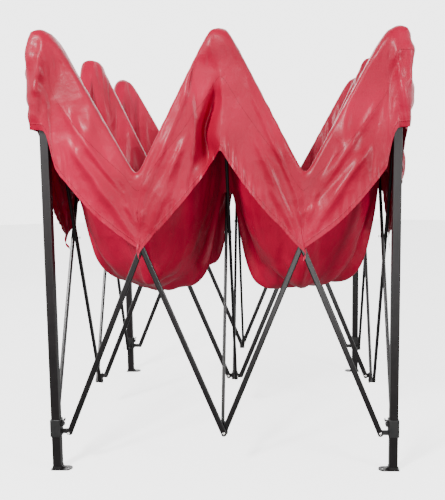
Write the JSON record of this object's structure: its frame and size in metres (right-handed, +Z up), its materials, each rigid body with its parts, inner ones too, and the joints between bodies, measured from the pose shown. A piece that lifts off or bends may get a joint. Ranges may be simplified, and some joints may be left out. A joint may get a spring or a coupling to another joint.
{
  "type": "pop up canopy",
  "caption": "Folding pop up canopy on telescoping square legs, with scissor trusses, hubs, sliders and a red fabric cover, shown part folded",
  "frame": {"origin": "on the floor under the centre of the four legs", "axes": "+Z up, -Y is the front side, +X to the right seen from the front"},
  "size_m": [1.3, 1.3, 1.593],
  "materials": {
    "cover_fabric": "satin",
    "bar_coat": "satin",
    "leg_coat": "satin",
    "foot_coat": "satin",
    "hub_coat": "satin",
    "latch_plastic": "satin",
    "bracket_plastic": "satin",
    "post_coat": "satin"
  },
  "bodies": {
    "centre_upper_hub": {"centre_upper_hub": "hub_coat", "peak_post": "post_coat", "cover": "cover_fabric"},
    "inner_bar_front_top": {"inner_bar_front_top": "bar_coat"},
    "inner_bar_front_low": {"inner_bar_front_low": "bar_coat"},
    "mid_lower_hub_front": {"mid_lower_hub_front": "hub_coat"},
    "mid_upper_hub_front": {"mid_upper_hub_front": "hub_coat"},
    "centre_lower_hub": {"centre_lower_hub": "hub_coat"},
    "side_bar_front_left_top": {"side_bar_front_left_top": "bar_coat"},
    "side_bar_front_left_low": {"side_bar_front_left_low": "bar_coat"},
    "leg_front_left": {"leg_front_left": "leg_coat", "top_bracket_front_left": "bracket_plastic"},
    "slider_front_left": {"slider_front_left": "bracket_plastic"},
    "side_bar_front_right_top": {"side_bar_front_right_top": "bar_coat"},
    "side_bar_front_right_low": {"side_bar_front_right_low": "bar_coat"},
    "leg_front_right": {"leg_front_right": "leg_coat", "top_bracket_front_right": "bracket_plastic"},
    "slider_front_right": {"slider_front_right": "bracket_plastic"},
    "inner_bar_right_top": {"inner_bar_right_top": "bar_coat"},
    "inner_bar_right_low": {"inner_bar_right_low": "bar_coat"},
    "mid_lower_hub_right": {"mid_lower_hub_right": "hub_coat"},
    "mid_upper_hub_right": {"mid_upper_hub_right": "hub_coat"},
    "side_bar_right_left_top": {"side_bar_right_left_top": "bar_coat"},
    "side_bar_right_left_low": {"side_bar_right_left_low": "bar_coat"},
    "side_bar_right_right_top": {"side_bar_right_right_top": "bar_coat"},
    "side_bar_right_right_low": {"side_bar_right_right_low": "bar_coat"},
    "inner_bar_back_top": {"inner_bar_back_top": "bar_coat"},
    "inner_bar_back_low": {"inner_bar_back_low": "bar_coat"},
    "mid_lower_hub_back": {"mid_lower_hub_back": "hub_coat"},
    "mid_upper_hub_back": {"mid_upper_hub_back": "hub_coat"},
    "side_bar_back_left_top": {"side_bar_back_left_top": "bar_coat"},
    "side_bar_back_left_low": {"side_bar_back_left_low": "bar_coat"},
    "leg_back_right": {"leg_back_right": "leg_coat", "top_bracket_back_right": "bracket_plastic"},
    "slider_back_right": {"slider_back_right": "bracket_plastic"},
    "side_bar_back_right_top": {"side_bar_back_right_top": "bar_coat"},
    "side_bar_back_right_low": {"side_bar_back_right_low": "bar_coat"},
    "leg_back_left": {"leg_back_left": "leg_coat", "top_bracket_back_left": "bracket_plastic"},
    "slider_back_left": {"slider_back_left": "bracket_plastic"},
    "inner_bar_left_top": {"inner_bar_left_top": "bar_coat"},
    "inner_bar_left_low": {"inner_bar_left_low": "bar_coat"},
    "mid_lower_hub_left": {"mid_lower_hub_left": "hub_coat"},
    "mid_upper_hub_left": {"mid_upper_hub_left": "hub_coat"},
    "side_bar_left_left_top": {"side_bar_left_left_top": "bar_coat"},
    "side_bar_left_left_low": {"side_bar_left_left_low": "bar_coat"},
    "side_bar_left_right_top": {"side_bar_left_right_top": "bar_coat"},
    "side_bar_left_right_low": {"side_bar_left_right_low": "bar_coat"},
    "inner_leg_front_left": {"inner_leg_front_left": "leg_coat", "foot_front_left": "foot_coat"},
    "slider_latch_front_left": {"slider_latch_front_left": "latch_plastic"},
    "inner_leg_front_right": {"inner_leg_front_right": "leg_coat", "foot_front_right": "foot_coat"},
    "slider_latch_front_right": {"slider_latch_front_right": "latch_plastic"},
    "inner_leg_back_right": {"inner_leg_back_right": "leg_coat", "foot_back_right": "foot_coat"},
    "slider_latch_back_right": {"slider_latch_back_right": "latch_plastic"},
    "inner_leg_back_left": {"inner_leg_back_left": "leg_coat", "foot_back_left": "foot_coat"},
    "slider_latch_back_left": {"slider_latch_back_left": "latch_plastic"}
  },
  "joints": [
    {"name": "fold_front", "type": "hinge", "parent": "centre_upper_hub", "child": "inner_bar_front_top", "pos_m": [-0.0065, -0.028, 1.52765], "axis": [-1, 0, 0], "range_deg": [-19, 45.5], "deforming": ["cover"]},
    {"name": "inner_cross_front", "type": "hinge", "parent": "inner_bar_front_top", "child": "inner_bar_front_low", "pos_m": [0, -0.31042, 0.84582], "axis": [-1, 0, 0], "range_deg": [-91.6, 38.6]},
    {"name": "mid_lower_front", "type": "hinge", "parent": "inner_bar_front_top", "child": "mid_lower_hub_front", "pos_m": [0, -0.59284, 0.164], "axis": [-1, 0, 0], "range_deg": [-46.1, 19.6]},
    {"name": "mid_upper_front", "type": "hinge", "parent": "inner_bar_front_low", "child": "mid_upper_hub_front", "pos_m": [0, -0.59284, 1.52765], "axis": [-1, 0, 0], "range_deg": [-19.6, 46.1]},
    {"name": "centre_lower", "type": "hinge", "parent": "inner_bar_front_low", "child": "centre_lower_hub", "pos_m": [0, -0.028, 0.164], "axis": [-1, 0, 0], "range_deg": [-19.6, 46.1]},
    {"name": "side_top_front_left", "type": "hinge", "parent": "mid_lower_hub_front", "child": "side_bar_front_left_top", "pos_m": [0, -0.63134, 0.142], "axis": [0, -1, 0], "range_deg": [-19.6, 46.1]},
    {"name": "side_cross_front_left", "type": "hinge", "parent": "side_bar_front_left_top", "child": "side_bar_front_left_low", "pos_m": [-0.28242, -0.62484, 0.82382], "axis": [0, -1, 0], "range_deg": [-91.6, 38.6]},
    {"name": "leg_top_front_left", "type": "hinge", "parent": "side_bar_front_left_top", "child": "leg_front_left", "pos_m": [-0.56484, -0.63134, 1.50565], "axis": [0, -1, 0], "range_deg": [-46.1, 19.6]},
    {"name": "slider_pivot_front_left", "type": "hinge", "parent": "side_bar_front_left_low", "child": "slider_front_left", "pos_m": [-0.56484, -0.61834, 0.142], "axis": [0, -1, 0], "range_deg": [-19.6, 46.1]},
    {"name": "side_top_front_right", "type": "hinge", "parent": "mid_lower_hub_front", "child": "side_bar_front_right_top", "pos_m": [0, -0.61834, 0.142], "axis": [0, 1, 0], "range_deg": [-19.6, 46.1]},
    {"name": "side_cross_front_right", "type": "hinge", "parent": "side_bar_front_right_top", "child": "side_bar_front_right_low", "pos_m": [0.28242, -0.62484, 0.82382], "axis": [0, 1, 0], "range_deg": [-91.6, 38.6]},
    {"name": "leg_top_front_right", "type": "hinge", "parent": "side_bar_front_right_top", "child": "leg_front_right", "pos_m": [0.56484, -0.61834, 1.50565], "axis": [0, 1, 0], "range_deg": [-46.1, 19.6]},
    {"name": "slider_pivot_front_right", "type": "hinge", "parent": "side_bar_front_right_low", "child": "slider_front_right", "pos_m": [0.56484, -0.63134, 0.142], "axis": [0, 1, 0], "range_deg": [-19.6, 46.1]},
    {"name": "fold_right", "type": "hinge", "parent": "centre_upper_hub", "child": "inner_bar_right_top", "pos_m": [0.028, -0.0065, 1.52765], "axis": [0, -1, 0], "range_deg": [-19.6, 46.1]},
    {"name": "inner_cross_right", "type": "hinge", "parent": "inner_bar_right_top", "child": "inner_bar_right_low", "pos_m": [0.31042, 0, 0.84582], "axis": [0, -1, 0], "range_deg": [-91.6, 38.6]},
    {"name": "mid_lower_right", "type": "hinge", "parent": "inner_bar_right_top", "child": "mid_lower_hub_right", "pos_m": [0.59284, 0, 0.164], "axis": [0, -1, 0], "range_deg": [-46.1, 19.6]},
    {"name": "mid_upper_right", "type": "hinge", "parent": "inner_bar_right_low", "child": "mid_upper_hub_right", "pos_m": [0.59284, 0, 1.52765], "axis": [0, -1, 0], "range_deg": [-19.6, 46.1]},
    {"name": "side_top_right_left", "type": "hinge", "parent": "mid_lower_hub_right", "child": "side_bar_right_left_top", "pos_m": [0.63134, 0, 0.142], "axis": [1, 0, 0], "range_deg": [-19.6, 46.1]},
    {"name": "side_cross_right_left", "type": "hinge", "parent": "side_bar_right_left_top", "child": "side_bar_right_left_low", "pos_m": [0.62484, -0.28242, 0.82382], "axis": [1, 0, 0], "range_deg": [-91.6, 38.6]},
    {"name": "side_top_right_right", "type": "hinge", "parent": "mid_lower_hub_right", "child": "side_bar_right_right_top", "pos_m": [0.61834, 0, 0.142], "axis": [-1, 0, 0], "range_deg": [-19.6, 46.1]},
    {"name": "side_cross_right_right", "type": "hinge", "parent": "side_bar_right_right_top", "child": "side_bar_right_right_low", "pos_m": [0.62484, 0.28242, 0.82382], "axis": [-1, 0, 0], "range_deg": [-91.6, 38.6]},
    {"name": "fold_back", "type": "hinge", "parent": "centre_upper_hub", "child": "inner_bar_back_top", "pos_m": [0.0065, 0.028, 1.52765], "axis": [1, 0, 0], "range_deg": [-19.6, 46.1]},
    {"name": "inner_cross_back", "type": "hinge", "parent": "inner_bar_back_top", "child": "inner_bar_back_low", "pos_m": [0, 0.31042, 0.84582], "axis": [1, 0, 0], "range_deg": [-91.6, 38.6]},
    {"name": "mid_lower_back", "type": "hinge", "parent": "inner_bar_back_top", "child": "mid_lower_hub_back", "pos_m": [0, 0.59284, 0.164], "axis": [1, 0, 0], "range_deg": [-46.1, 19.6]},
    {"name": "mid_upper_back", "type": "hinge", "parent": "inner_bar_back_low", "child": "mid_upper_hub_back", "pos_m": [0, 0.59284, 1.52765], "axis": [1, 0, 0], "range_deg": [-19.6, 46.1]},
    {"name": "side_top_back_left", "type": "hinge", "parent": "mid_lower_hub_back", "child": "side_bar_back_left_top", "pos_m": [0, 0.63134, 0.142], "axis": [0, 1, 0], "range_deg": [-19.6, 46.1]},
    {"name": "side_cross_back_left", "type": "hinge", "parent": "side_bar_back_left_top", "child": "side_bar_back_left_low", "pos_m": [0.28242, 0.62484, 0.82382], "axis": [0, 1, 0], "range_deg": [-91.6, 38.6]},
    {"name": "leg_top_back_right", "type": "hinge", "parent": "side_bar_back_left_top", "child": "leg_back_right", "pos_m": [0.56484, 0.63134, 1.50565], "axis": [0, 1, 0], "range_deg": [-46.1, 19.6]},
    {"name": "slider_pivot_back_right", "type": "hinge", "parent": "side_bar_back_left_low", "child": "slider_back_right", "pos_m": [0.56484, 0.61834, 0.142], "axis": [0, 1, 0], "range_deg": [-19.6, 46.1]},
    {"name": "side_top_back_right", "type": "hinge", "parent": "mid_lower_hub_back", "child": "side_bar_back_right_top", "pos_m": [0, 0.61834, 0.142], "axis": [0, -1, 0], "range_deg": [-19.6, 46.1]},
    {"name": "side_cross_back_right", "type": "hinge", "parent": "side_bar_back_right_top", "child": "side_bar_back_right_low", "pos_m": [-0.28242, 0.62484, 0.82382], "axis": [0, -1, 0], "range_deg": [-91.6, 38.6]},
    {"name": "leg_top_back_left", "type": "hinge", "parent": "side_bar_back_right_top", "child": "leg_back_left", "pos_m": [-0.56484, 0.61834, 1.50565], "axis": [0, -1, 0], "range_deg": [-46.1, 19.6]},
    {"name": "slider_pivot_back_left", "type": "hinge", "parent": "side_bar_back_right_low", "child": "slider_back_left", "pos_m": [-0.56484, 0.63134, 0.142], "axis": [0, -1, 0], "range_deg": [-19.6, 46.1]},
    {"name": "fold_left", "type": "hinge", "parent": "centre_upper_hub", "child": "inner_bar_left_top", "pos_m": [-0.028, 0.0065, 1.52765], "axis": [0, 1, 0], "range_deg": [-19.6, 46.1]},
    {"name": "inner_cross_left", "type": "hinge", "parent": "inner_bar_left_top", "child": "inner_bar_left_low", "pos_m": [-0.31042, 0, 0.84582], "axis": [0, 1, 0], "range_deg": [-91.6, 38.6]},
    {"name": "mid_lower_left", "type": "hinge", "parent": "inner_bar_left_top", "child": "mid_lower_hub_left", "pos_m": [-0.59284, 0, 0.164], "axis": [0, 1, 0], "range_deg": [-46.1, 19.6]},
    {"name": "mid_upper_left", "type": "hinge", "parent": "inner_bar_left_low", "child": "mid_upper_hub_left", "pos_m": [-0.59284, 0, 1.52765], "axis": [0, 1, 0], "range_deg": [-19.6, 46.1]},
    {"name": "side_top_left_left", "type": "hinge", "parent": "mid_lower_hub_left", "child": "side_bar_left_left_top", "pos_m": [-0.63134, 0, 0.142], "axis": [-1, 0, 0], "range_deg": [-19.6, 46.1]},
    {"name": "side_cross_left_left", "type": "hinge", "parent": "side_bar_left_left_top", "child": "side_bar_left_left_low", "pos_m": [-0.62484, 0.28242, 0.82382], "axis": [-1, 0, 0], "range_deg": [-91.6, 38.6]},
    {"name": "side_top_left_right", "type": "hinge", "parent": "mid_lower_hub_left", "child": "side_bar_left_right_top", "pos_m": [-0.61834, 0, 0.142], "axis": [1, 0, 0], "range_deg": [-19.6, 46.1]},
    {"name": "side_cross_left_right", "type": "hinge", "parent": "side_bar_left_right_top", "child": "side_bar_left_right_low", "pos_m": [-0.62484, -0.28242, 0.82382], "axis": [1, 0, 0], "range_deg": [-91.6, 38.6]},
    {"name": "leg_height_front_left", "type": "slide", "parent": "leg_front_left", "child": "inner_leg_front_left", "axis": [0, 0, -1], "range_m": [0, 0.5]},
    {"name": "latch_front_left", "type": "hinge", "parent": "slider_front_left", "child": "slider_latch_front_left", "pos_m": [-0.59084, -0.61484, 0.17], "axis": [0, 1, 0], "range_deg": [0, 15], "stiffness_Nm_per_rad": 0.3, "springref_deg": -8.59},
    {"name": "leg_height_front_right", "type": "slide", "parent": "leg_front_right", "child": "inner_leg_front_right", "axis": [0, 0, -1], "range_m": [0, 0.5]},
    {"name": "latch_front_right", "type": "hinge", "parent": "slider_front_right", "child": "slider_latch_front_right", "pos_m": [0.59084, -0.61484, 0.17], "axis": [0, -1, 0], "range_deg": [0, 15], "stiffness_Nm_per_rad": 0.3, "springref_deg": -8.59},
    {"name": "leg_height_back_right", "type": "slide", "parent": "leg_back_right", "child": "inner_leg_back_right", "axis": [0, 0, -1], "range_m": [0, 0.5]},
    {"name": "latch_back_right", "type": "hinge", "parent": "slider_back_right", "child": "slider_latch_back_right", "pos_m": [0.59084, 0.61484, 0.17], "axis": [0, -1, 0], "range_deg": [0, 15], "stiffness_Nm_per_rad": 0.3, "springref_deg": -8.59},
    {"name": "leg_height_back_left", "type": "slide", "parent": "leg_back_left", "child": "inner_leg_back_left", "axis": [0, 0, -1], "range_m": [0, 0.5]},
    {"name": "latch_back_left", "type": "hinge", "parent": "slider_back_left", "child": "slider_latch_back_left", "pos_m": [-0.59084, 0.61484, 0.17], "axis": [0, 1, 0], "range_deg": [0, 15], "stiffness_Nm_per_rad": 0.3, "springref_deg": -8.59}
  ],
  "couplings": [
    {"joint": "inner_cross_front", "follows": "fold_front", "ratio": -2},
    {"joint": "mid_lower_front", "follows": "fold_front", "ratio": -1},
    {"joint": "mid_upper_front", "follows": "fold_front", "ratio": 1},
    {"joint": "centre_lower", "follows": "fold_front", "ratio": 1},
    {"joint": "side_top_front_left", "follows": "fold_front", "ratio": 1},
    {"joint": "side_cross_front_left", "follows": "fold_front", "ratio": -2},
    {"joint": "leg_top_front_left", "follows": "fold_front", "ratio": -1},
    {"joint": "slider_pivot_front_left", "follows": "fold_front", "ratio": 1},
    {"joint": "side_top_front_right", "follows": "fold_front", "ratio": 1},
    {"joint": "side_cross_front_right", "follows": "fold_front", "ratio": -2},
    {"joint": "leg_top_front_right", "follows": "fold_front", "ratio": -1},
    {"joint": "slider_pivot_front_right", "follows": "fold_front", "ratio": 1},
    {"joint": "fold_right", "follows": "fold_front", "ratio": 1},
    {"joint": "inner_cross_right", "follows": "fold_front", "ratio": -2},
    {"joint": "mid_lower_right", "follows": "fold_front", "ratio": -1},
    {"joint": "mid_upper_right", "follows": "fold_front", "ratio": 1},
    {"joint": "side_top_right_left", "follows": "fold_front", "ratio": 1},
    {"joint": "side_cross_right_left", "follows": "fold_front", "ratio": -2},
    {"joint": "side_top_right_right", "follows": "fold_front", "ratio": 1},
    {"joint": "side_cross_right_right", "follows": "fold_front", "ratio": -2},
    {"joint": "fold_back", "follows": "fold_front", "ratio": 1},
    {"joint": "inner_cross_back", "follows": "fold_front", "ratio": -2},
    {"joint": "mid_lower_back", "follows": "fold_front", "ratio": -1},
    {"joint": "mid_upper_back", "follows": "fold_front", "ratio": 1},
    {"joint": "side_top_back_left", "follows": "fold_front", "ratio": 1},
    {"joint": "side_cross_back_left", "follows": "fold_front", "ratio": -2},
    {"joint": "leg_top_back_right", "follows": "fold_front", "ratio": -1},
    {"joint": "slider_pivot_back_right", "follows": "fold_front", "ratio": 1},
    {"joint": "side_top_back_right", "follows": "fold_front", "ratio": 1},
    {"joint": "side_cross_back_right", "follows": "fold_front", "ratio": -2},
    {"joint": "leg_top_back_left", "follows": "fold_front", "ratio": -1},
    {"joint": "slider_pivot_back_left", "follows": "fold_front", "ratio": 1},
    {"joint": "fold_left", "follows": "fold_front", "ratio": 1},
    {"joint": "inner_cross_left", "follows": "fold_front", "ratio": -2},
    {"joint": "mid_lower_left", "follows": "fold_front", "ratio": -1},
    {"joint": "mid_upper_left", "follows": "fold_front", "ratio": 1},
    {"joint": "side_top_left_left", "follows": "fold_front", "ratio": 1},
    {"joint": "side_cross_left_left", "follows": "fold_front", "ratio": -2},
    {"joint": "side_top_left_right", "follows": "fold_front", "ratio": 1},
    {"joint": "side_cross_left_right", "follows": "fold_front", "ratio": -2}
  ]
}
